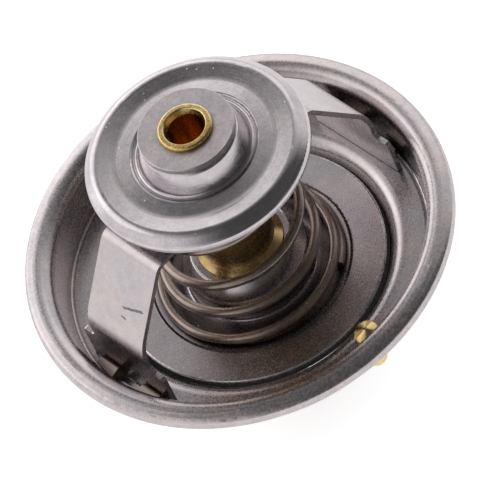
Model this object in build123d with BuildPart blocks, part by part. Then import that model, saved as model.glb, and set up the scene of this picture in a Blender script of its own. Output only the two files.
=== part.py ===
from build123d import *
import math
import os

# Engine thermostat. Millimetres, +Z up the valve axis towards the bypass disc.
# Origin: on the valve axis, at the lower edge of the flange lip.
# Heights are counted from the top of the valve plate when the valve is closed.
PLATE_Z = -6.7

# Stamped flange, from its edge inwards: turned edge, lip, upright wall, groove, flat band,
# conical seat, neck
FLANGE_R = 33.5
FLANGE_T = 1.0
LIP_EDGE_H = 1.5
LIP_W = 4.1
LIP_RISE = 1.1
WALL_LEAN = 1.2
GROOVE_W = 0.7
GROOVE_DEPTH = 0.3
BAND_W = 4.45
BAND_H = 1.0
SEAT_DEPTH = 3.75
SEAT_SLOPE = 0.76
NECK_L = 2.75
CREST_BEND = 2.4
SEAT_BEND = 2.4
NECK_BEND = 1.0
GROOVE_BEND = 0.4
BAND_BEND = 0.5
LIP_BEND = 1.0
LIP_H = -PLATE_Z + LIP_EDGE_H
CREST_CORNER_R = FLANGE_R - LIP_W
CREST_CORNER_H = LIP_H + LIP_RISE
GROOVE_R = CREST_CORNER_R - WALL_LEAN
GROOVE_H = BAND_H - GROOVE_DEPTH
BAND_R = GROOVE_R - GROOVE_W
SEAT_CORNER_R = BAND_R - BAND_W
NECK_R = SEAT_CORNER_R - SEAT_SLOPE * SEAT_DEPTH
NECK_TOP_H = BAND_H - SEAT_DEPTH
NECK_LOW_H = NECK_TOP_H - NECK_L

# Clearances
RUN = 0.05
FACE_GAP = 0.05
GUIDE_PLAY = 0.08

# Spring strap
STRAP_T = 0.8
STRAP_TOP_H = 25.2
LEG_LEAN = 8.8
KNEE_H = 13.0
KNEE_BEND = 8.5
HEAD_BEND = 2.4
HOOK_BEND = 0.3
FOOT_INSET = 1.9
FOOT_W = 17.3
LEG_W = 11.8
SHOULDER_H = 8.1
HOOK_W = 4.8
FOOT_LOW_H = -0.3
FOOT_CORNER = 0.5
SHOULDER_BEND = 0.9
HOOK_REACH = 2.7
STRAP_DISC_R = 12.2
SLOT_PLAY = 0.1
FOOT_X = BAND_R - FOOT_INSET
STRAP_BEND_X = FOOT_X - LEG_LEAN
HOOK_X = FOOT_X + HOOK_REACH
HOOK_H = GROOVE_H - FLANGE_T

# Hidden side bridge
BRIDGE_W = 12.8
BRIDGE_T = 1.2
BRIDGE_KNEE_H = -5.0
BRIDGE_FLOOR_H = -19.8
BRIDGE_LEAN = 14.15
BRIDGE_BEND = 4.0
TAB_H = 2.9
TAB_FALL = 0.75
TAB_BEND = 0.6
TAB_INSET = 0.35
TAB_PLAY = 0.2
CUP_DEPTH = 4.0
CUP_WALL_T = 1.8
CUP_TAPER = 6.0
CUP_EDGE = 0.8
BRIDGE_LEG_X = FOOT_X + FACE_GAP
BRIDGE_FLOOR_X = BRIDGE_LEG_X - BRIDGE_LEAN
BRIDGE_TAB_R = GROOVE_R - TAB_INSET
BRIDGE_TAB_GAP = HOOK_W + 2 * TAB_PLAY

# Valve plate and its seal
PLATE_LAP = 0.9
PLATE_T = 1.0
COLLAR_HOLE_R = 6.85
COLLAR_TOP_W = 1.05
COLLAR_TOP_H = 6.4
COLLAR_RIM_R = 9.8
COLLAR_RIM_H = 3.8
COLLAR_LEAN = 0.15
SPRING_SEAT_H = -0.3
PLATE_EDGE_W = 5.6
SEAT_STEP_W = 0.4
SEAL_W = 2.1
SEAL_T = 0.9
PLATE_R = NECK_R + PLATE_LAP
SPRING_SEAT_R = PLATE_R - PLATE_EDGE_W
SEAL_INNER_R = PLATE_R - SEAL_W
COLLAR_TOP_R = COLLAR_HOLE_R + COLLAR_TOP_W

# Wax element
CUP_R = 6.1
CUP_WALL = 1.3
CUP_STEP_H = 2.6
CUP_STEP = 0.4
CUP_STAND = 1.6
CUP_ROOF = 1.4
CUP_CHAMFER = 0.6
CUP_FLANGE_R = 7.6
CRIMP_H = 2.6
CRIMP_T = 0.6
CRIMP_W = 1.6
PISTON_R = 2.2
BOOT_R = 3.6
BOOT_COVER = 3.0
BOOT_END_T = 1.6
BOOT_PLAY = 0.4
GUIDE_R = 4.4
GUIDE_LOW_H = -8.5
GUIDE_FLANGE_R = 6.9
GUIDE_FLANGE_T = 1.1
BOOT_FLANGE_T = 0.6
WASHER_R = 3.6
WASHER_T = 0.8
WIPER_R = 3.4
WIPER_T = 1.5
LOCK_RING_R = 8.8
LOCK_RING_BORE_R = 5.4
LOCK_RING_T = 0.8
CUP_EDGE_H = COLLAR_TOP_H + CUP_STEP_H
CUP_TOP_H = STRAP_TOP_H + CUP_STAND
BOOT_TOP_H = CUP_TOP_H - CUP_ROOF - BOOT_COVER
PISTON_TOP_H = BOOT_TOP_H - BOOT_END_T - BOOT_PLAY

# Bypass tube, disc, washers
TUBE_R = 3.5
TUBE_BORE_R = 2.75
TUBE_SEAT = 0.6
EYELET_R = 4.2
EYELET_H = 0.75
HUB_WASHER_R = 7.45
HUB_WASHER_T = 0.9
DISC_R = 17.3
DISC_T = 0.9
BOSS_RISE = 3.7
BOSS_INSET = 0.15
BOSS_BEND = 1.0
FOOT_BEND = 0.5
DISH_BEND = 4.0
DISC_RIM_BEND = 1.5
BOSS_FLARE = 1.55
BOSS_FOOT_W = 0.8
BOSS_FOOT_DIP = 0.6
DISH_W = 2.6
DISH_DIP = 0.2
DISC_RIM_W = 1.6
DISC_RIM_RISE = 0.15
DISC_DROP = 2.2
DISC_SKIRT = 0.9
BYPASS_SPAN = 6.7
SPRING_WASHER_R = 6.9
SPRING_WASHER_T = 0.8
DISC_TOP_H = CUP_TOP_H + SPRING_WASHER_T + BYPASS_SPAN + DISC_T
DISC_FACE_H = DISC_TOP_H - BOSS_RISE
DISC_EDGE_H = DISC_FACE_H - DISC_DROP

# Springs
MAIN_WIRE_R = 0.8
MAIN_PLAY = 0.6
MAIN_HEAD_R = 10.6
MAIN_TURNS = 4.7
MAIN_CLOSED_TURN = 0.65
MAIN_PITCH = 4.46
MAIN_OPENING = 1.4
MAIN_START_DEG = -58.5
MAIN_BASE_R = SPRING_SEAT_R - MAIN_PLAY - MAIN_WIRE_R
BYPASS_WIRE_R = 0.45
BYPASS_COIL_R = 5.6
BYPASS_TURNS = 3.5

# Jiggle pin
JIGGLE_INSET = 1.8
JIGGLE_LEAN = 4.0
JIGGLE_HOLE_R = 1.25
JIGGLE_STEM_R = 0.75
JIGGLE_HEAD_R = 2.0
JIGGLE_HEAD_UP = 2.8
JIGGLE_HEAD_L = 1.6
JIGGLE_TAPER = 0.45
JIGGLE_TIP = 1.0
JIGGLE_WEIGHT_R = 1.7
JIGGLE_WEIGHT_DOWN = -2.8
JIGGLE_WEIGHT_L = 1.8
JIGGLE_STAKE_L = 0.4
JIGGLE_RADIUS = BAND_R - JIGGLE_INSET
JIGGLE_MID_H = BAND_H - FLANGE_T / 2

os.makedirs("parts", exist_ok=True)


def unit(a, b):
    length = math.hypot(b[0] - a[0], b[1] - a[1])
    return ((b[0] - a[0]) / length, (b[1] - a[1]) / length)


def sheet_outline(points, radii, thickness):
    """Closed outline of a bent sheet, as corner points and corner radii.

    The points run along one face, and the sheet lies to their right.
    """
    lower = []
    lower_radii = []
    count = len(points)
    for i, (x, z) in enumerate(points):
        if i == 0:
            before = after = unit(points[0], points[1])
        elif i == count - 1:
            before = after = unit(points[-2], points[-1])
        else:
            before = unit(points[i - 1], points[i])
            after = unit(points[i], points[i + 1])
        nx = before[1] + after[1]
        nz = -before[0] - after[0]
        scale = 2 * thickness / (nx * nx + nz * nz)
        lower.append((x + nx * scale, z + nz * scale))
        turn = before[0] * after[1] - before[1] * after[0]
        if radii[i] == 0:
            lower_radii.append(0)
        elif turn > 0:
            lower_radii.append(radii[i] + thickness)
        else:
            lower_radii.append(max(radii[i] - thickness, 0))
    return points + lower[::-1], radii + lower_radii[::-1]


def lifted(points):
    """Heights above the closed valve plate turned into part heights."""
    return [(x, h + PLATE_Z) for x, h in points]


def ring_blank(inner_r, outer_r, low_h, high_h):
    """Half section of a plain ring, for revolving."""
    return lifted([(inner_r, low_h), (outer_r, low_h), (outer_r, high_h), (inner_r, high_h)])


def save(builder, name):
    builder.part.label = name
    export_step(builder.part, f"parts/{name}.step")


# Flange: neck, conical seat, flat band, groove, upright wall and lip in one sheet.
flange_path = lifted([
    (NECK_R, NECK_LOW_H),
    (NECK_R, NECK_TOP_H),
    (SEAT_CORNER_R, BAND_H),
    (BAND_R, BAND_H),
    (GROOVE_R, GROOVE_H),
    (CREST_CORNER_R, CREST_CORNER_H),
    (FLANGE_R, LIP_H),
    (FLANGE_R, LIP_H - LIP_EDGE_H),
])
flange_bends = [0, NECK_BEND, SEAT_BEND, BAND_BEND, GROOVE_BEND, CREST_BEND, LIP_BEND, 0]
flange_points, flange_radii = sheet_outline(flange_path, flange_bends, FLANGE_T)
slot_inner_x = FOOT_X - STRAP_T - FACE_GAP
slot_mid_x = FOOT_X + SLOT_PLAY
slot_outer_x = BRIDGE_LEG_X + BRIDGE_T + FACE_GAP
with BuildPart() as flange:
    with BuildSketch(Plane.XZ):
        with BuildLine():
            FilletPolyline(*flange_points, radius=flange_radii, close=True)
        make_face()
    revolve(axis=Axis.Z)
    with BuildSketch(Plane.XY.offset(PLATE_Z + BAND_H)):
        for side in (-1, 1):
            with Locations((side * (slot_inner_x + slot_mid_x) / 2, 0)):
                Rectangle(slot_mid_x - slot_inner_x, FOOT_W + 2 * SLOT_PLAY)
            with Locations((side * (slot_mid_x - TAB_PLAY + slot_outer_x) / 2, 0)):
                Rectangle(slot_outer_x - slot_mid_x + TAB_PLAY, BRIDGE_W + 2 * SLOT_PLAY)
        with Locations((0, -JIGGLE_RADIUS)):
            Circle(JIGGLE_HOLE_R)
    extrude(amount=2 * FLANGE_T, both=True, mode=Mode.SUBTRACT)
save(flange, "flange")

# Hidden side bridge: two legs that carry a drawn cup for the piston.
bridge_path = lifted([
    (0, BRIDGE_FLOOR_H),
    (BRIDGE_FLOOR_X, BRIDGE_FLOOR_H),
    (BRIDGE_LEG_X, BRIDGE_KNEE_H),
    (BRIDGE_LEG_X, TAB_H),
    (GROOVE_R, TAB_H - TAB_FALL),
])
bridge_points, bridge_radii = sheet_outline(
    bridge_path, [0, BRIDGE_BEND, BRIDGE_BEND, TAB_BEND, 0], BRIDGE_T
)
bridge_low_h = BRIDGE_FLOOR_H - BRIDGE_T
with BuildPart() as bridge:
    with BuildSketch(Plane.XZ):
        with BuildLine():
            FilletPolyline(*bridge_points, radius=bridge_radii, close=True)
        make_face()
    extrude(amount=BRIDGE_W / 2, both=True)
    mirror(about=Plane.YZ)
    with BuildSketch(Plane.XY.offset(PLATE_Z + HOOK_H - STRAP_T - TAB_PLAY)):
        for side in (-1, 1):
            with Locations((side * BRIDGE_LEG_X, 0)):
                Rectangle(6 * BRIDGE_T, BRIDGE_TAB_GAP)
    extrude(amount=TAB_H - HOOK_H + 2 * STRAP_T, mode=Mode.SUBTRACT)
    with BuildSketch(Plane.XY.offset(PLATE_Z + bridge_low_h)):
        Circle(BRIDGE_TAB_R)
    extrude(amount=TAB_H + BRIDGE_T - bridge_low_h, mode=Mode.INTERSECT)
    with BuildSketch(Plane.XY.offset(PLATE_Z + BRIDGE_FLOOR_H)):
        Circle(PISTON_R + CUP_WALL_T)
    extrude(amount=-CUP_DEPTH - BRIDGE_T, taper=CUP_TAPER)
    with BuildSketch(Plane.XY.offset(PLATE_Z + BRIDGE_FLOOR_H)):
        Circle(PISTON_R)
    extrude(amount=-CUP_DEPTH, mode=Mode.SUBTRACT)
    fillet(bridge.faces().sort_by(Axis.Z)[0].edges(), radius=CUP_EDGE)
save(bridge, "bridge")

# Piston, fixed in the bridge cup.
with BuildPart() as piston:
    with BuildSketch(Plane.XY.offset(PLATE_Z + BRIDGE_FLOOR_H - CUP_DEPTH)):
        Circle(PISTON_R)
    extrude(amount=PISTON_TOP_H - BRIDGE_FLOOR_H + CUP_DEPTH)
    chamfer(piston.edges().group_by(Axis.Z)[-1], length=0.6)
save(piston, "piston")

# Spring strap: round head with a guide hole, leaning legs, wide feet and bent hooks.
strap_path = lifted([
    (0, STRAP_TOP_H),
    (STRAP_BEND_X, STRAP_TOP_H),
    (FOOT_X, KNEE_H),
    (FOOT_X, HOOK_H),
    (HOOK_X, HOOK_H),
])
strap_points, strap_radii = sheet_outline(
    strap_path, [0, HEAD_BEND, KNEE_BEND, HOOK_BEND, 0], STRAP_T
)
with BuildPart() as strap:
    with BuildSketch(Plane.XZ):
        with BuildLine():
            FilletPolyline(*strap_points, radius=strap_radii, close=True)
        make_face()
    extrude(amount=FOOT_W / 2, both=True)
    mirror(about=Plane.YZ)
    with BuildSketch(Plane.YZ):
        for side in (-1, 1):
            with Locations((side * (LEG_W + FOOT_W) / 2, PLATE_Z + SHOULDER_H)):
                Rectangle(FOOT_W, STRAP_TOP_H, align=(Align.CENTER, Align.MIN))
            with Locations((side * (HOOK_W + FOOT_W) / 2, PLATE_Z + FOOT_LOW_H)):
                Rectangle(FOOT_W, KNEE_H, align=(Align.CENTER, Align.MAX))
    extrude(amount=FLANGE_R, both=True, mode=Mode.SUBTRACT)
    shoulder_edges = strap.edges().filter_by(Axis.X).filter_by_position(
        Axis.Z, PLATE_Z + SHOULDER_H - 0.01, PLATE_Z + SHOULDER_H + 0.01
    )
    inner_corners = shoulder_edges.filter_by(lambda e: abs(abs(e.center().Y) - LEG_W / 2) < 0.01)
    fillet(inner_corners, radius=SHOULDER_BEND)
    shoulder_edges = strap.edges().filter_by(Axis.X).filter_by_position(
        Axis.Z, PLATE_Z + SHOULDER_H - 0.01, PLATE_Z + SHOULDER_H + 0.01
    )
    outer_corners = shoulder_edges.filter_by(lambda e: abs(abs(e.center().Y) - FOOT_W / 2) < 0.01)
    fillet(outer_corners, radius=FOOT_CORNER)
    with BuildSketch(Plane.XY.offset(PLATE_Z + STRAP_TOP_H - STRAP_T)):
        Circle(STRAP_DISC_R)
    extrude(amount=STRAP_T)
    with BuildSketch(Plane.XY.offset(PLATE_Z + STRAP_TOP_H - STRAP_T)):
        Circle(CUP_R + GUIDE_PLAY)
    extrude(amount=STRAP_T, mode=Mode.SUBTRACT)
save(strap, "strap")

# Valve plate: flat rim, shallow spring seat, drawn collar with an inward lip.
plate_path = lifted([
    (COLLAR_HOLE_R, COLLAR_TOP_H),
    (COLLAR_TOP_R, COLLAR_TOP_H),
    (COLLAR_RIM_R, COLLAR_RIM_H),
    (COLLAR_RIM_R + COLLAR_LEAN, SPRING_SEAT_H),
    (SPRING_SEAT_R, SPRING_SEAT_H),
    (SPRING_SEAT_R + SEAT_STEP_W, 0),
    (PLATE_R, 0),
])
plate_points, plate_radii = sheet_outline(plate_path, [0, 0.6, 1.2, 0.5, 0.3, 0.3, 0], PLATE_T)
with BuildPart() as valve_plate:
    with BuildSketch(Plane.XZ):
        with BuildLine():
            FilletPolyline(*plate_points, radius=plate_radii, close=True)
        make_face()
    revolve(axis=Axis.Z)
    rim_edge = valve_plate.edges().filter_by(GeomType.CIRCLE).sort_by(SortBy.RADIUS)[-2:].sort_by(Axis.Z)[-1]
    fillet(rim_edge, radius=0.3)
save(valve_plate, "valve_plate")

# Rubber ring bonded under the plate, with its flank parallel to the seat cone.
seal_flank_r = NECK_R + SEAT_SLOPE * (-PLATE_T - NECK_TOP_H) - 2 * RUN
with BuildPart() as valve_seal:
    with BuildSketch(Plane.XZ):
        with BuildLine():
            Polyline(
                *lifted([
                    (SEAL_INNER_R, -PLATE_T),
                    (seal_flank_r, -PLATE_T),
                    (seal_flank_r - SEAT_SLOPE * SEAL_T, -PLATE_T - SEAL_T),
                    (SEAL_INNER_R, -PLATE_T - SEAL_T),
                ]),
                close=True,
            )
        make_face()
    revolve(axis=Axis.Z)
save(valve_seal, "valve_seal")

# Wax cup: brass, flange crimped round the guide, recess in the roof for the tube.
cup_bore_r = CUP_R - CUP_WALL
lip_h = COLLAR_TOP_H - PLATE_T
guide_flange_h = CRIMP_H + CRIMP_T
boot_flange_h = guide_flange_h + GUIDE_FLANGE_T
shoulder_in_h = boot_flange_h + BOOT_FLANGE_T
with BuildPart() as wax_cup:
    with BuildSketch(Plane.XZ):
        with BuildLine():
            Polyline(
                *lifted([
                    (GUIDE_R + CRIMP_W, CRIMP_H),
                    (CUP_FLANGE_R, CRIMP_H),
                    (CUP_FLANGE_R, lip_h - CUP_CHAMFER),
                    (CUP_FLANGE_R - 0.75 * CUP_CHAMFER, lip_h),
                    (COLLAR_HOLE_R - RUN, lip_h),
                    (COLLAR_HOLE_R - RUN, COLLAR_TOP_H + CUP_CHAMFER / 2),
                    (CUP_R - CUP_STEP, COLLAR_TOP_H + CUP_STEP_H / 2),
                    (CUP_R - CUP_STEP, CUP_EDGE_H - CUP_STEP / 2),
                    (CUP_R, CUP_EDGE_H),
                    (CUP_R, CUP_TOP_H - CUP_CHAMFER),
                    (CUP_R - CUP_CHAMFER, CUP_TOP_H),
                    (TUBE_R, CUP_TOP_H),
                    (TUBE_R, CUP_TOP_H - TUBE_SEAT),
                    (0, CUP_TOP_H - TUBE_SEAT),
                    (0, CUP_TOP_H - CUP_ROOF),
                    (cup_bore_r, CUP_TOP_H - CUP_ROOF),
                    (cup_bore_r, shoulder_in_h),
                    (GUIDE_FLANGE_R, shoulder_in_h),
                    (GUIDE_FLANGE_R, guide_flange_h),
                    (GUIDE_R + CRIMP_W, guide_flange_h),
                ]),
                close=True,
            )
        make_face()
    revolve(axis=Axis.Z)
save(wax_cup, "wax_cup")

# Guide body with a recess at each end for the chafe washer and the wiper.
guide_bore_r = PISTON_R + RUN
with BuildPart() as guide_body:
    with BuildSketch(Plane.XZ):
        with BuildLine():
            Polyline(
                *lifted([
                    (WIPER_R, GUIDE_LOW_H),
                    (GUIDE_R, GUIDE_LOW_H),
                    (GUIDE_R, guide_flange_h),
                    (GUIDE_FLANGE_R, guide_flange_h),
                    (GUIDE_FLANGE_R, boot_flange_h),
                    (WASHER_R, boot_flange_h),
                    (WASHER_R, boot_flange_h - WASHER_T),
                    (guide_bore_r, boot_flange_h - WASHER_T),
                    (guide_bore_r, GUIDE_LOW_H + WIPER_T),
                    (WIPER_R, GUIDE_LOW_H + WIPER_T),
                ]),
                close=True,
            )
        make_face()
    revolve(axis=Axis.Z)
    chamfer(guide_body.edges().group_by(Axis.Z)[0].sort_by(SortBy.RADIUS)[-1], length=0.5)
save(guide_body, "guide_body")

# Rubber boot round the piston, closed at the top and clamped by its flange.
with BuildPart() as rubber_boot:
    with BuildSketch(Plane.XZ):
        with BuildLine():
            Polyline(
                *lifted([
                    (guide_bore_r, boot_flange_h),
                    (GUIDE_FLANGE_R, boot_flange_h),
                    (GUIDE_FLANGE_R, shoulder_in_h),
                    (BOOT_R, shoulder_in_h),
                    (BOOT_R, BOOT_TOP_H),
                    (0, BOOT_TOP_H),
                    (0, PISTON_TOP_H + BOOT_PLAY),
                    (guide_bore_r, PISTON_TOP_H + BOOT_PLAY),
                ]),
                close=True,
            )
        make_face()
    revolve(axis=Axis.Z)
save(rubber_boot, "rubber_boot")

# Wax charge, filling the cup round the boot.
with BuildPart() as wax_charge:
    with BuildSketch(Plane.XZ):
        with BuildLine():
            Polyline(
                *lifted([
                    (BOOT_R, shoulder_in_h),
                    (cup_bore_r, shoulder_in_h),
                    (cup_bore_r, CUP_TOP_H - CUP_ROOF),
                    (0, CUP_TOP_H - CUP_ROOF),
                    (0, BOOT_TOP_H),
                    (BOOT_R, BOOT_TOP_H),
                ]),
                close=True,
            )
        make_face()
    revolve(axis=Axis.Z)
save(wax_charge, "wax_charge")

# Plain rings: name, bore radius, outer radius, lower and upper height.
rings = (
    ("chafe_washer", guide_bore_r, WASHER_R, boot_flange_h - WASHER_T, boot_flange_h),
    ("piston_wiper", guide_bore_r, WIPER_R, GUIDE_LOW_H + 0.2, GUIDE_LOW_H + WIPER_T),
    ("lock_ring", LOCK_RING_BORE_R, LOCK_RING_R, CRIMP_H - LOCK_RING_T, CRIMP_H),
    ("spring_washer", TUBE_R + RUN, SPRING_WASHER_R, CUP_TOP_H, CUP_TOP_H + SPRING_WASHER_T),
    ("hub_washer", TUBE_R + RUN, HUB_WASHER_R, DISC_TOP_H, DISC_TOP_H + HUB_WASHER_T),
)
for name, bore_r, outer_r, low_h, high_h in rings:
    with BuildPart() as ring:
        with BuildSketch(Plane.XZ):
            with BuildLine():
                Polyline(*ring_blank(bore_r, outer_r, low_h, high_h), close=True)
            make_face()
        revolve(axis=Axis.Z)
        top_edges = ring.edges().filter_by(GeomType.CIRCLE).group_by(Axis.Z)[-1]
        chamfer(top_edges.sort_by(SortBy.RADIUS)[-1], length=0.15)
    save(ring, name)

# Bypass tube, its end rolled over into an eyelet on the hub washer.
hub_h = DISC_TOP_H + HUB_WASHER_T
with BuildPart() as bypass_tube:
    with BuildSketch(Plane.XZ):
        with BuildLine():
            FilletPolyline(
                *lifted([
                    (TUBE_BORE_R, CUP_TOP_H - TUBE_SEAT),
                    (TUBE_R, CUP_TOP_H - TUBE_SEAT),
                    (TUBE_R, hub_h),
                    (EYELET_R, hub_h),
                    (EYELET_R, hub_h + EYELET_H),
                    (TUBE_BORE_R + 0.5, hub_h + EYELET_H),
                    (TUBE_BORE_R, hub_h - 0.2),
                ]),
                radius=[0, 0, 0, 0.12, 0.35, 0.25, 0.3],
                close=True,
            )
        make_face()
    revolve(axis=Axis.Z)
save(bypass_tube, "bypass_tube")

# Bypass disc: raised boss, groove at its foot, shallow dish, edge rolled down.
boss_r = HUB_WASHER_R - BOSS_INSET
boss_foot_r = boss_r + BOSS_FLARE + BOSS_INSET
disc_path = lifted([
    (TUBE_R + RUN, DISC_TOP_H),
    (boss_r, DISC_TOP_H),
    (boss_foot_r, DISC_FACE_H - BOSS_FOOT_DIP),
    (boss_foot_r + BOSS_FOOT_W, DISC_FACE_H),
    (boss_foot_r + BOSS_FOOT_W + DISH_W, DISC_FACE_H - DISH_DIP),
    (DISC_R - DISC_RIM_W, DISC_FACE_H + DISC_RIM_RISE),
    (DISC_R, DISC_EDGE_H + DISC_SKIRT),
    (DISC_R, DISC_EDGE_H),
])
disc_points, disc_radii = sheet_outline(
    disc_path, [0, BOSS_BEND, FOOT_BEND, FOOT_BEND, DISH_BEND, DISC_RIM_BEND, BOSS_BEND, 0], DISC_T
)
with BuildPart() as bypass_disc:
    with BuildSketch(Plane.XZ):
        with BuildLine():
            FilletPolyline(*disc_points, radius=disc_radii, close=True)
        make_face()
    revolve(axis=Axis.Z)
save(bypass_disc, "bypass_disc")


def coil(turns, start_deg, radius_at, height_at, per_turn):
    """Points along a coil, from its lower end to its upper end."""
    points = []
    for i in range(round(turns * per_turn) + 1):
        t = i / per_turn
        a = math.radians(start_deg + 360 * t)
        r = radius_at(t)
        points.append((r * math.cos(a), r * math.sin(a), PLATE_Z + height_at(t)))
    return points


# Main spring: closed end on the valve plate, open conical coils, closed end under the strap head.
main_low = SPRING_SEAT_H + MAIN_WIRE_R + 0.04
main_high = STRAP_TOP_H - STRAP_T - MAIN_WIRE_R - 0.06


def main_radius(t):
    return MAIN_HEAD_R + (MAIN_BASE_R - MAIN_HEAD_R) / (1 + max(t - 0.7, 0) ** 1.6)


def main_height(t):
    rise = MAIN_PITCH * max(t - MAIN_CLOSED_TURN, 0) + MAIN_OPENING * max(t - MAIN_CLOSED_TURN - 1, 0) ** 2
    return min(main_low + rise, main_high)


with BuildPart() as main_spring:
    with BuildLine():
        wire = Spline(*coil(MAIN_TURNS, MAIN_START_DEG, main_radius, main_height, 20))
    with BuildSketch(Plane(origin=wire @ 0, z_dir=wire % 0)):
        Circle(MAIN_WIRE_R)
    sweep(path=wire)
save(main_spring, "main_spring")

# Bypass spring, between the spring washer and the boss of the disc.
bypass_low = CUP_TOP_H + SPRING_WASHER_T + BYPASS_WIRE_R + 0.1
bypass_rise = DISC_TOP_H - DISC_T - BYPASS_WIRE_R - 0.1 - bypass_low
with BuildPart() as bypass_spring:
    with BuildLine():
        wire = Spline(*coil(
            BYPASS_TURNS,
            0,
            lambda t: BYPASS_COIL_R,
            lambda t: bypass_low + bypass_rise * t / BYPASS_TURNS,
            12,
        ))
    with BuildSketch(Plane(origin=wire @ 0, z_dir=wire % 0)):
        Circle(BYPASS_WIRE_R)
    sweep(path=wire)
save(bypass_spring, "bypass_spring")

# Jiggle pin: turned brass head and stem, leaning a little outwards in its hole.
lean = math.radians(JIGGLE_LEAN)
jiggle_mid = (0, -JIGGLE_RADIUS, PLATE_Z + JIGGLE_MID_H)
jiggle_section = Plane(origin=jiggle_mid, x_dir=(1, 0, 0), z_dir=(0, -math.cos(lean), -math.sin(lean)))
jiggle_axis = Axis(jiggle_mid, (0, -math.sin(lean), math.cos(lean)))
jiggle_base = JIGGLE_HEAD_UP - JIGGLE_HEAD_L
with BuildPart() as jiggle_pin:
    with BuildSketch(jiggle_section):
        with BuildLine():
            Polyline(
                (0, JIGGLE_WEIGHT_DOWN - JIGGLE_STAKE_L),
                (JIGGLE_STEM_R, JIGGLE_WEIGHT_DOWN - JIGGLE_STAKE_L),
                (JIGGLE_STEM_R, jiggle_base),
                (JIGGLE_HEAD_R - JIGGLE_TAPER, jiggle_base),
                (JIGGLE_HEAD_R, JIGGLE_HEAD_UP - 0.3),
                (JIGGLE_HEAD_R, JIGGLE_HEAD_UP),
                (JIGGLE_HEAD_R - 0.2, JIGGLE_HEAD_UP + 0.2 * JIGGLE_TIP),
                (0.25, JIGGLE_HEAD_UP + JIGGLE_TIP),
                (0, JIGGLE_HEAD_UP + JIGGLE_TIP),
                close=True,
            )
        make_face()
    revolve(axis=jiggle_axis)
save(jiggle_pin, "jiggle_pin")

# Jiggle weight: the tapered brass bead staked on the lower end of the stem.
with BuildPart() as jiggle_weight:
    with BuildSketch(jiggle_section):
        with BuildLine():
            Polyline(
                (JIGGLE_STEM_R, JIGGLE_WEIGHT_DOWN),
                (JIGGLE_WEIGHT_R - JIGGLE_TAPER, JIGGLE_WEIGHT_DOWN),
                (JIGGLE_WEIGHT_R, JIGGLE_WEIGHT_DOWN - JIGGLE_WEIGHT_L + 0.3),
                (JIGGLE_WEIGHT_R - 0.15, JIGGLE_WEIGHT_DOWN - JIGGLE_WEIGHT_L),
                (0, JIGGLE_WEIGHT_DOWN - JIGGLE_WEIGHT_L),
                (0, JIGGLE_WEIGHT_DOWN - JIGGLE_STAKE_L),
                (JIGGLE_STEM_R, JIGGLE_WEIGHT_DOWN - JIGGLE_STAKE_L),
                close=True,
            )
        make_face()
    revolve(axis=jiggle_axis)
save(jiggle_weight, "jiggle_weight")
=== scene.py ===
import math

import bpy
from mathutils import Matrix, Vector


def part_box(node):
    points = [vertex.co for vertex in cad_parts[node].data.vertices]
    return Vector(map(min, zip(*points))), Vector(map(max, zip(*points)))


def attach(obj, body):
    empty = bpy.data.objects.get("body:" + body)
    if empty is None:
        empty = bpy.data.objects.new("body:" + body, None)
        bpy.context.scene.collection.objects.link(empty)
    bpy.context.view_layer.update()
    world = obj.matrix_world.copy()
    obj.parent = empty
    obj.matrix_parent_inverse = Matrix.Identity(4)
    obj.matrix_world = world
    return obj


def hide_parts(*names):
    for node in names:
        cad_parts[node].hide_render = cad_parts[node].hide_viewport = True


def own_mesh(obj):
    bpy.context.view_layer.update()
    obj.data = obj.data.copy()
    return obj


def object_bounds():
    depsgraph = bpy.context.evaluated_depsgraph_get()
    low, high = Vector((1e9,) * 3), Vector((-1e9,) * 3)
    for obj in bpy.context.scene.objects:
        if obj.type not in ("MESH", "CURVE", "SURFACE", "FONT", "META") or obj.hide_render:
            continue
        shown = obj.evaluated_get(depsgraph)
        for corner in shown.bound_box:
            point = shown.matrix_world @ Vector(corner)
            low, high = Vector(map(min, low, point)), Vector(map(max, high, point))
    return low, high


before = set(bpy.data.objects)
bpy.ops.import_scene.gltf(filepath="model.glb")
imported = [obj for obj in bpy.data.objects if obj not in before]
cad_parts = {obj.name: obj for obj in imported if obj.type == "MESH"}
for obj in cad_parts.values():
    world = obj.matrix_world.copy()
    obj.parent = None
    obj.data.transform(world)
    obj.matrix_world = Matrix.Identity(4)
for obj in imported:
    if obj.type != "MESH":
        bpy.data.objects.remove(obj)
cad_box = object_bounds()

# Engine thermostat: finishes, studio and camera around the CAD parts. Metres, +Z up the valve axis.
MM = 0.001
PER_M = 1000.0
PLATE_THICKNESS = 1.0 * MM
PLATE_TOP_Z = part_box("valve_seal")[1][2] + PLATE_THICKNESS

# Radii in millimetres: where the plate's rim is lightened as a painted highlight, where its spring seat is
# darkened as the coils' painted shadow, and the tarnished bore of the tube.
HIGHLIGHT_BAND = 0.2
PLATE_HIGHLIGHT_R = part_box("valve_plate")[1][0] * PER_M - HIGHLIGHT_BAND
SEAT_SHADOW_RADII = (10.6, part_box("main_spring")[1][0] * PER_M)
TUBE_BORE_R = 2.95

WHITE = (1.0, 1.0, 1.0)
STEEL_WARM = (0.60, 0.53, 0.53)
STEEL_COOL = (0.53, 0.495, 0.515)
# Painted shade: a darker, browner copy of the sheet steel for the bridge's tabs, which lie in shade in their
# slots.
SHADED_TAB_STEEL = (0.38, 0.30, 0.27)
SPRING_WARM = (0.40, 0.325, 0.275)
SPRING_COOL = (0.31, 0.255, 0.225)
DISC_LIGHT = (0.65, 0.59, 0.60)
DISC_DARK = (0.55, 0.515, 0.54)
BRASS_LIGHT = (0.84, 0.65, 0.32)
BRASS_DARK = (0.60, 0.40, 0.14)
CUP_LIGHT = (0.80, 0.56, 0.26)
CUP_DARK = (0.54, 0.36, 0.16)
TARNISH_COLOUR = (0.68, 0.39, 0.13)
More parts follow.
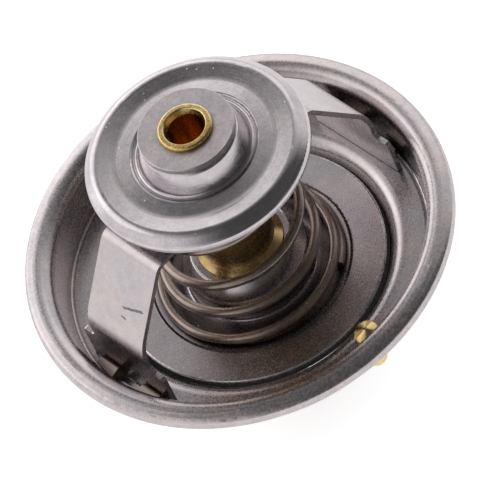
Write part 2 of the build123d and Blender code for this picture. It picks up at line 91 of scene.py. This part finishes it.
# Dark of the pits and scars, also used for the painted shadow on the spring seat.
PIT_AND_SHADOW_COLOUR = (0.10, 0.085, 0.08)
# Light of the specks, also used for the painted highlight on the plate's rim.
SPECK_AND_HIGHLIGHT_COLOUR = (0.93, 0.90, 0.90)
RUST_COLOUR = (0.20, 0.08, 0.03)
RUBBER_COLOUR = (0.014, 0.013, 0.013)
WAX_COLOUR = (0.36, 0.17, 0.09)
PLASTIC_COLOUR = (0.78, 0.77, 0.73)
PAPER_COLOUR = (0.86, 0.86, 0.86)

# Single marks: start and end (millimetres, CAD frame), and half width.
LEG_SCARS = [
    ((-22.29, -1.05, 10.88), (-21.69, -4.69, 11.72), 0.30),
    ((-23.18, -0.98, 9.65), (-23.28, -1.78, 9.51), 0.20),
]
LIP_SCARS = [((31.34, -0.47, 2.08), (30.27, -2.21, 2.34), 0.22)]
PLATE_SCARS = [((14.0, -6.8, -6.7), (14.3, -7.3, -6.7), 0.14)]
DISC_RUST = [((9.4, -11.9, 23.3), (10.1, -11.3, 23.3), 0.7)]

# Ranges of a noise's values that are spread over the full effect: the narrow one gives more contrast.
NARROW = (0.35, 0.65)
WIDE = (0.3, 0.7)
RELIEF_DEPTH = 0.02 * MM
CORNER_SAMPLES = 12

# Levels of the dome: seen by all but metal, and by metal between its lights. Then the lights that metal
# reflects: azimuth and elevation (degrees), the cosines where one begins and is full, and its level.
PLAIN_LEVEL = 0.85
DARK_LEVEL = 0.075
DOME_LIGHTS = (
    (146, -10, -0.15, 0.65, 0.85),
    (32, 7, 0.46, 0.82, 0.75),
    (92, 14, 0.74, 0.97, 0.60),
)

# Lamps: direction (right, up, towards the camera), distance and side (metres), and power (watts).
SOFTBOXES = {
    "key": ((-0.85, 0.35, 0.25), 0.7, 0.5, 0.35),
    "fill": ((-0.1, 0.9, -0.1), 0.8, 0.5, 0.3),
}

FLOOR_HALF = 3.0
FLOOR_GAP = 0.2 * MM
GLOW_SEEN = 0.60
GLOW_IN_METAL = 0.25


class Shader:
    """Adds nodes to one material or world and joins their sockets."""

    def __init__(self, owner):
        owner.use_nodes = True
        self.tree = owner.node_tree
        self.tree.nodes.clear()

    def add(self, kind, **inputs):
        node = self.tree.nodes.new(kind)
        for name, value in inputs.items():
            self.put(node, name.replace("_", " "), value)
        return node

    def put(self, node, name, value):
        """Joins an output to an input, or sets the input to a value."""
        socket = node.inputs[name]
        if isinstance(value, bpy.types.NodeSocket):
            self.tree.links.new(value, socket)
        elif isinstance(value, tuple) and len(value) == 3 and socket.type == "RGBA":
            socket.default_value = (*value, 1.0)
        else:
            socket.default_value = value

    def math(self, operation, *values):
        node = self.tree.nodes.new("ShaderNodeMath")
        node.operation = operation
        for i, value in enumerate(values):
            self.put(node, i, value)
        return node.outputs[0]

    def vector(self, operation, *values, output="Vector"):
        node = self.tree.nodes.new("ShaderNodeVectorMath")
        node.operation = operation
        for i, value in enumerate(values):
            self.put(node, i, value)
        return node.outputs[output]

    def scaled(self, vector, factor):
        scale = self.vector("SCALE", vector)
        self.put(scale.node, "Scale", factor)
        return scale

    def noise(self, vector, scale, detail=3.0, roughness=0.55):
        node = self.add("ShaderNodeTexNoise", Vector=vector, Scale=scale, Detail=detail, Roughness=roughness)
        return node.outputs["Fac"]

    def span(self, value, low, high, to_low=0.0, to_high=1.0, smooth=False):
        """Maps low..high onto to_low..to_high, and holds the ends outside it."""
        node = self.tree.nodes.new("ShaderNodeMapRange")
        node.interpolation_type = "SMOOTHSTEP" if smooth else "LINEAR"
        self.put(node, "Value", value)
        self.put(node, "From Min", low)
        self.put(node, "From Max", high)
        self.put(node, "To Min", to_low)
        self.put(node, "To Max", to_high)
        return node.outputs["Result"]

    def blend(self, factor, first, second):
        node = self.tree.nodes.new("ShaderNodeMix")
        node.data_type = "RGBA"
        self.put(node, 0, factor)
        self.put(node, 6, first if isinstance(first, bpy.types.NodeSocket) else (*first, 1.0))
        self.put(node, 7, second if isinstance(second, bpy.types.NodeSocket) else (*second, 1.0))
        return node.outputs[2]

    def bump(self, height, strength):
        node = self.add("ShaderNodeBump", Height=height, Distance=RELIEF_DEPTH, Strength=strength)
        return node.outputs["Normal"]

    def place(self):
        """Place in the CAD frame at rest, in millimetres."""
        return self.scaled(self.add("ShaderNodeTexCoord").outputs["Object"], PER_M)

    def polar(self, place):
        """Radius from the valve axis in millimetres, and the unit direction round it."""
        flat = self.vector("MULTIPLY", place, (1.0, 1.0, 0.0))
        radius = self.vector("LENGTH", flat, output="Value")
        return radius, self.vector("NORMALIZE", flat)


def grain_vector(shader, place, grain):
    """Stretches space so that noise runs as brush marks: round the axis, along the legs or evenly."""
    if grain == "spun":
        radius, direction = shader.polar(place)
        height = shader.add("ShaderNodeSeparateXYZ", Vector=place).outputs["Z"]
        across = shader.add("ShaderNodeCombineXYZ", X=radius, Y=0.0, Z=height).outputs["Vector"]
        return shader.vector("ADD", shader.scaled(across, 5.0), shader.scaled(direction, 1.6))
    if grain == "along":
        return shader.vector("MULTIPLY", place, (0.25, 5.0, 0.25))
    return shader.scaled(place, 3.0)


def spots(shader, place, scale, size, share):
    """Mask of small round pits: one in a share of the cells of the given scale."""
    cells = shader.add("ShaderNodeTexVoronoi", Vector=place, Scale=scale)
    pick = shader.add("ShaderNodeSeparateColor", Color=cells.outputs["Color"]).outputs["Red"]
    chosen = shader.math("LESS_THAN", pick, share)
    inside = shader.span(cells.outputs["Distance"], size * 0.5, size, 1.0, 0.0, smooth=True)
    return shader.math("MULTIPLY", chosen, inside)


def marks(shader, place, marked):
    """Mask of single marks, each a stroke from one point to another in millimetres with a half width."""
    total = None
    for start, end, half_width in marked:
        run = tuple(b - a for a, b in zip(start, end))
        square = sum(c * c for c in run)
        offset = shader.vector("SUBTRACT", place, start)
        along = shader.math("DIVIDE", shader.vector("DOT_PRODUCT", offset, run, output="Value"), square)
        along.node.use_clamp = True
        distance = shader.vector("DISTANCE", offset, shader.scaled(run, along), output="Value")
        wobble = shader.span(shader.noise(place, 2.5, 3.0), *WIDE, -0.4 * half_width, 0.4 * half_width)
        distance = shader.math("ADD", distance, wobble)
        mask = shader.span(distance, half_width * 0.4, half_width, 1.0, 0.0, smooth=True)
        total = mask if total is None else shader.math("MAXIMUM", total, mask)
    return total


def metal(name, light, dark, rough, grain="even", streak=0.10, mottle=0.08, stain=0.06, pits=0.0, specks=0.0,
          shade_and_grime=0.5, reach=4.0, relief=0.5, bore=None, highlight_edge=None, shadow_ring=None, rust=(), scars=()):
    """Worn metal: two tints, brush marks, mottling, stains, pits, bright specks, corner darkening that is
    painted shade and dirt, and single marks; the darkening looks for a neighbour within reach millimetres. It
    is tarnished inside the bore's radius, lightened outside the given rim radius as a painted highlight, and
    darkened between the two given seat radii as the coils' painted shadow."""
    material = bpy.data.materials.new(name)
    shader = Shader(material)
    place = shader.place()
    streaks = shader.noise(grain_vector(shader, place, grain), 1.0, 4.0, 0.6)
    clouds = shader.noise(place, 0.16, 3.0)
    grains = shader.noise(place, 2.6, 3.0, 0.7)

    colour = shader.blend(shader.span(clouds, *NARROW), light, dark)
    stains = shader.noise(place, 0.7, 4.0, 0.65)
    shade = shader.math("ADD", shader.span(streaks, *WIDE, -streak, streak),
                        shader.span(grains, *NARROW, -mottle, mottle))
    shade = shader.math("ADD", shade, shader.span(stains, *NARROW, -stain, stain))
    tone = shader.math("ADD", 1.0, shade)
    # Painted shade and dirt: the colour darkens where another surface lies within reach, in corners and between
    # parts.
    corner = shader.add("ShaderNodeAmbientOcclusion", Distance=reach * MM)
    corner.samples = CORNER_SAMPLES
    shade_and_dirt = shader.span(corner.outputs["AO"], 0.25, 0.85, 1.0 - shade_and_grime, 1.0)
    tone = shader.math("MULTIPLY", tone, shade_and_dirt)
    colour = shader.scaled(colour, tone)
    radius, _ = shader.polar(place)
    # Painted highlight: beyond the given rim radius the colour is lightened towards the speck colour.
    if highlight_edge:
        highlit_radius = shader.math("ADD", radius, shader.span(stains, *WIDE, -0.15, 0.15))
        colour = shader.blend(shader.span(highlit_radius, highlight_edge - 0.15, highlight_edge + 0.1), colour, SPECK_AND_HIGHLIGHT_COLOUR)
    # Painted shadow: between the two given seat radii the colour is darkened towards the pit colour, where the
    # coils shade the plate.
    if shadow_ring:
        in_shadow = shader.math("MULTIPLY", shader.span(radius, shadow_ring[0] - 0.4, shadow_ring[0] + 0.4),
                             shader.span(radius, shadow_ring[1] - 0.3, shadow_ring[1] + 0.3, 1.0, 0.0))
        colour = shader.blend(shader.math("MULTIPLY", in_shadow, 0.9), colour, PIT_AND_SHADOW_COLOUR)
    if bore:
        colour = shader.blend(shader.span(radius, bore - 0.2, bore, 1.0, 0.0), colour, TARNISH_COLOUR)
    roughness = shader.math("ADD", shader.span(streaks, *WIDE, rough - 0.05, rough + 0.05),
                            shader.span(grains, *NARROW, -0.5 * mottle, 0.5 * mottle))
    height = shader.math("ADD", shader.math("MULTIPLY", streaks, 0.5), shader.math("MULTIPLY", grains, 0.5))
    if pits:
        mask = shader.math("MULTIPLY", spots(shader, place, 0.9, 0.20, pits), shader.span(grains, 0.40, 0.55))
        colour = shader.blend(shader.math("MULTIPLY", mask, 0.6), colour, PIT_AND_SHADOW_COLOUR)
        height = shader.math("SUBTRACT", height, mask)
    if specks:
        mask = spots(shader, shader.vector("ADD", place, (7.3, 2.1, 5.5)), 1.3, 0.17, specks)
        colour = shader.blend(mask, colour, SPECK_AND_HIGHLIGHT_COLOUR)
        roughness = shader.math("ADD", roughness, shader.math("MULTIPLY", mask, 0.25))
        height = shader.math("ADD", height, mask)
    if scars:
        mask = shader.math("MULTIPLY", marks(shader, place, scars), 0.8)
        colour = shader.blend(mask, colour, PIT_AND_SHADOW_COLOUR)
        height = shader.math("SUBTRACT", height, mask)
    if rust:
        mask = marks(shader, place, rust)
        colour = shader.blend(shader.math("MULTIPLY", mask, 0.7), colour, RUST_COLOUR)
        roughness = shader.math("ADD", roughness, shader.math("MULTIPLY", mask, 0.3))

    surface = shader.add("ShaderNodeBsdfPrincipled", Base_Color=colour, Roughness=roughness, Metallic=1.0,
                         Normal=shader.bump(height, relief))
    shader.add("ShaderNodeOutputMaterial", Surface=surface.outputs["BSDF"])
    return material


def dull(name, colour, rough, speckle):
    """Rubber, wax or plastic: one colour with fine speckle and a soft grain."""
    material = bpy.data.materials.new(name)
    shader = Shader(material)
    place = shader.place()
    grains = shader.noise(place, 4.0, 4.0, 0.6)
    clouds = shader.noise(place, 0.4, 3.0)
    lighter = tuple(min(1.0, c * (1.0 + speckle)) for c in colour)
    tint = shader.blend(shader.span(grains, *NARROW), colour, lighter)
    roughness = shader.span(clouds, *WIDE, rough - 0.08, rough + 0.08)
    surface = shader.add("ShaderNodeBsdfPrincipled", Base_Color=tint, Roughness=roughness,
                         Normal=shader.bump(grains, 0.5))
    shader.add("ShaderNodeOutputMaterial", Surface=surface.outputs["BSDF"])
    return material


def dress(names, material):
    """Gives CAD nodes their finish."""
    for name in names:
        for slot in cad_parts[name].material_slots:
            slot.material = material


# Each finish's corner darkening strength sets painted shade in its corners together with dirt.
dress(["flange"], metal(
    "flange_steel", STEEL_WARM, STEEL_COOL, 0.27, "spun", 0.05, 0.12, pits=0.06, specks=0.02, scars=LIP_SCARS))
dress(["strap"], metal(
    "strap_steel", STEEL_WARM, STEEL_COOL, 0.27, "along", 0.015, 0.04, 0.05, pits=0.03, shade_and_grime=0.12,
    scars=LEG_SCARS))
# The bridge's tabs take the darker copy of the sheet steel as painted shade.
dress(["bridge"], metal("bridge_shaded_steel", SHADED_TAB_STEEL, SHADED_TAB_STEEL, 0.34, "along", 0.06, shade_and_grime=0.12))
# The plate gets a painted highlight on its rim and the coils' painted shadow on its spring seat.
dress(["valve_plate"], metal(
    "plate_steel", STEEL_WARM, STEEL_COOL, 0.26, "even", 0.02, 0.04, 0.04, specks=0.04, shade_and_grime=0.45, reach=5.0,
    relief=0.08, highlight_edge=PLATE_HIGHLIGHT_R, shadow_ring=SEAT_SHADOW_RADII, scars=PLATE_SCARS))
dress(["bypass_disc"], metal(
    "disc_steel", DISC_LIGHT, DISC_DARK, 0.17, "spun", 0.05, 0.06, pits=0.02, specks=0.05, rust=DISC_RUST))
dress(["hub_washer"], metal("washer_steel", STEEL_COOL, STEEL_WARM, 0.40, "even", 0.06, 0.10, 0.08, pits=0.03))
dress(["spring_washer"], metal(
    "seat_steel", STEEL_WARM, STEEL_COOL, 0.26, "spun", 0.05, shade_and_grime=0.7, reach=6.0, relief=0.2))
dress(["main_spring", "bypass_spring", "lock_ring"], metal(
    "spring_steel", SPRING_WARM, SPRING_COOL, 0.32, "even", 0.06, 0.08, specks=0.02, shade_and_grime=0.6, reach=3.0))
dress(["piston"], metal("piston_steel", STEEL_WARM, STEEL_WARM, 0.14, "spun", 0.03, 0.02, shade_and_grime=0.2))
dress(["wax_cup", "guide_body"], metal("cup_brass", CUP_LIGHT, CUP_DARK, 0.24, "spun", 0.08, 0.10, shade_and_grime=0.15))
dress(["bypass_tube"], metal(
    "tube_brass", BRASS_LIGHT, BRASS_DARK, 0.22, "even", 0.10, 0.16, bore=TUBE_BORE_R, shade_and_grime=0.3, reach=3.0,
    relief=0.8))
dress(["jiggle_pin", "jiggle_weight"], metal(
    "pin_brass", BRASS_LIGHT, BRASS_DARK, 0.20, "even", 0.06, shade_and_grime=0.4))
dress(["valve_seal", "rubber_boot"], dull("seal_rubber", RUBBER_COLOUR, 0.62, 0.6))
dress(["wax_charge"], dull("wax", WAX_COLOUR, 0.50, 0.3))
dress(["chafe_washer", "piston_wiper"], dull("plastic", PLASTIC_COLOUR, 0.45, 0.05))


def add_coils(node, body):
    """Copy of a CAD spring, dressed as it is, in its place: attached to the given body, with the CAD node
    hidden."""
    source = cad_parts[node]
    coils = bpy.data.objects.new(node + "_coils", source.data.copy())
    bpy.context.scene.collection.objects.link(coils)
    coils.matrix_world = source.matrix_world.copy()
    bpy.context.view_layer.update()
    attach(coils, body)
    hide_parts(node)
    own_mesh(coils)


add_coils("main_spring", "frame")
add_coils("bypass_spring", "element")


# Camera: aimed at the valve plate on the axis, a long lens, turned clockwise as in the photograph.
AZIMUTH = math.radians(-25.1)
ELEVATION = math.radians(52.15)
ROLL = math.radians(26.0)
DISTANCE = 0.9
NEAREST = 0.05
FARTHEST = 20.0
SENSOR_MM = 36.0
LENS_MM = 446.2
AIM_RIGHT = 0.05 * MM
AIM_UP = 4.02 * MM

to_camera = Vector((
    math.sin(AZIMUTH) * math.cos(ELEVATION),
    -math.cos(AZIMUTH) * math.cos(ELEVATION),
    math.sin(ELEVATION),
))
level_right = Vector((math.cos(AZIMUTH), math.sin(AZIMUTH), 0.0))
level_up = to_camera.cross(level_right)
camera_right = level_right * math.cos(ROLL) - level_up * math.sin(ROLL)
camera_up = level_right * math.sin(ROLL) + level_up * math.cos(ROLL)


def turned_to(right, up, back, place):
    """World matrix with the given axes as its columns."""
    matrix = Matrix.Identity(4)
    for column, axis in enumerate((right, up, back)):
        matrix.col[column][:3] = axis
    matrix.col[3][:3] = place
    return matrix


def add_camera():
    """Photograph's view: the aim lies a little right of and above the middle of the plate's top."""
    lens = bpy.data.cameras.new("camera")
    lens.sensor_width = SENSOR_MM
    lens.lens = LENS_MM
    lens.clip_start = NEAREST
    lens.clip_end = FARTHEST
    camera = bpy.data.objects.new("camera", lens)
    bpy.context.scene.collection.objects.link(camera)
    aim = Vector((0.0, 0.0, PLATE_TOP_Z)) + AIM_RIGHT * level_right + AIM_UP * level_up
    camera.matrix_world = turned_to(camera_right, camera_up, to_camera, aim + DISTANCE * to_camera)
    bpy.context.scene.camera = camera


def add_softbox(name, direction, distance, size, power):
    """Square area lamp that faces the part from a direction given as right, up and towards the camera."""
    lamp = bpy.data.lights.new(name, "AREA")
    lamp.shape = "SQUARE"
    lamp.size = size
    lamp.energy = power
    light = bpy.data.objects.new(name, lamp)
    bpy.context.scene.collection.objects.link(light)
    right, up, back = direction
    away = (camera_right * right + camera_up * up + to_camera * back).normalized()
    light.matrix_world = away.to_track_quat("Z", "Y").to_matrix().to_4x4()
    light.location = away * distance


def lobe(shader, ray, azimuth, elevation, low, high, level):
    """Broad soft light round one direction of the dome, for metal to reflect."""
    a, e = math.radians(azimuth), math.radians(elevation)
    centre = (math.cos(a) * math.cos(e), math.sin(a) * math.cos(e), math.sin(e))
    facing = shader.vector("DOT_PRODUCT", ray, centre, output="Value")
    return shader.span(facing, low, high, 0.0, level, smooth=True)


def add_world():
    """White to the camera, a pale dome to rubber and paper, and to metal a dark dome with three soft lights."""
    world = bpy.data.worlds.new("studio")
    bpy.context.scene.world = world
    shader = Shader(world)
    ray = shader.add("ShaderNodeTexCoord").outputs["Generated"]
    level = DARK_LEVEL
    for light in DOME_LIGHTS:
        level = shader.math("ADD", level, lobe(shader, ray, *light))
    path = shader.add("ShaderNodeLightPath")
    glossy = path.outputs["Is Glossy Ray"]
    seen = shader.math("MAXIMUM", path.outputs["Is Camera Ray"], path.outputs["Is Transmission Ray"])
    strength = shader.math("ADD", shader.math("MULTIPLY", glossy, level),
                           shader.math("MULTIPLY", shader.math("SUBTRACT", 1.0, glossy), PLAIN_LEVEL))
    strength = shader.math("MAXIMUM", strength, seen)
    back = shader.add("ShaderNodeBackground", Color=WHITE, Strength=strength)
    shader.add("ShaderNodeOutputWorld", Surface=back.outputs["Background"])


def add_floor():
    """Pale sheet under the part; a little of its own glow makes it white but keeps the shadow."""
    low = cad_box[0][2] - FLOOR_GAP
    mesh = bpy.data.meshes.new("floor")
    corners = [(FLOOR_HALF * x, FLOOR_HALF * y, low) for x, y in ((-1, -1), (1, -1), (1, 1), (-1, 1))]
    mesh.from_pydata(corners, [], [(0, 1, 2, 3)])
    floor = bpy.data.objects.new("floor", mesh)
    bpy.context.scene.collection.objects.link(floor)
    material = bpy.data.materials.new("paper")
    shader = Shader(material)
    paper = shader.add("ShaderNodeBsdfDiffuse", Color=PAPER_COLOUR)
    path = shader.add("ShaderNodeLightPath")
    seen = shader.math("MAXIMUM", path.outputs["Is Camera Ray"], path.outputs["Is Transmission Ray"])
    level = shader.math("ADD", shader.math("MULTIPLY", seen, GLOW_SEEN),
                        shader.math("MULTIPLY", path.outputs["Is Glossy Ray"], GLOW_IN_METAL))
    glow = shader.add("ShaderNodeEmission", Color=WHITE, Strength=level)
    both = shader.add("ShaderNodeAddShader")
    shader.put(both, 0, paper.outputs["BSDF"])
    shader.put(both, 1, glow.outputs["Emission"])
    shader.add("ShaderNodeOutputMaterial", Surface=both.outputs["Shader"])
    mesh.materials.append(material)


add_camera()
add_world()
add_floor()
for name, softbox in SOFTBOXES.items():
    add_softbox(name, *softbox)
bpy.context.scene.view_settings.view_transform = "Standard"
